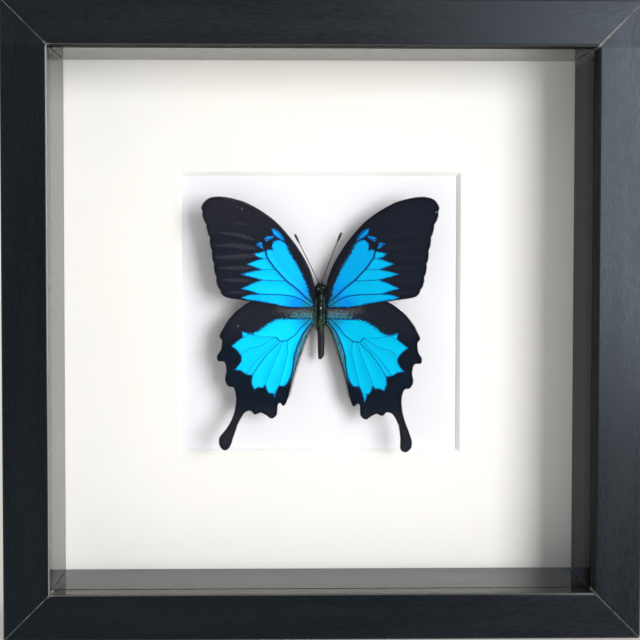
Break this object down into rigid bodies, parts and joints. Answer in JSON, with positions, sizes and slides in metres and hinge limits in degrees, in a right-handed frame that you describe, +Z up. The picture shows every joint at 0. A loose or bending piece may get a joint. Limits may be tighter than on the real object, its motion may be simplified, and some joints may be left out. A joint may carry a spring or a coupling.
{
  "type": "framed butterfly specimen",
  "caption": "Deep square box frame with glass and a window mat, holding a blue and black swallowtail butterfly pinned with spread wings in front of a white card",
  "frame": {"origin": "middle of the bottom edge of the frame, halfway through its depth, on the surface it stands on", "axes": "+X to the right as seen from the front, +Y from the glass to the back board, +Z up"},
  "size_m": [0.252, 0.045, 0.252],
  "materials": {
    "frame_foil": "black wood-grain foil wrapped on fibreboard, satin",
    "glass": "clear float glass",
    "spacer": "fibreboard strip with glossy black lacquer",
    "mat_board": "ivory mat board with a bevelled window, matt",
    "foam_card": "white card on foam, matt",
    "hardboard": "pressed brown hardboard",
    "plated_steel": "zinc plated sheet steel",
    "wing": "dry wing membrane with metallic blue and velvet black scales",
    "chitin": "dry chitin with short dark fur",
    "pin_steel": "drawn steel wire"
  },
  "bodies": {
    "root": {"moulding_top": "frame_foil", "moulding_bottom": "frame_foil", "moulding_left": "frame_foil", "moulding_right": "frame_foil", "glass_pane": "glass", "spacer_top": "spacer", "spacer_bottom": "spacer", "spacer_left": "spacer", "spacer_right": "spacer", "window_mat": "mat_board", "mounting_card": "foam_card", "back_board": "hardboard", "back_tab_1": "plated_steel", "back_tab_2": "plated_steel", "back_tab_3": "plated_steel", "back_tab_4": "plated_steel", "back_tab_5": "plated_steel", "back_tab_6": "plated_steel", "back_tab_7": "plated_steel", "back_tab_8": "plated_steel", "hanger_plate": "plated_steel", "forewing_left": "wing", "forewing_right": "wing", "hindwing_left": "wing", "hindwing_right": "wing", "butterfly_body": "chitin", "antenna_left": "chitin", "antenna_right": "chitin", "insect_pin": "pin_steel"}
  },
  "joints": []
}
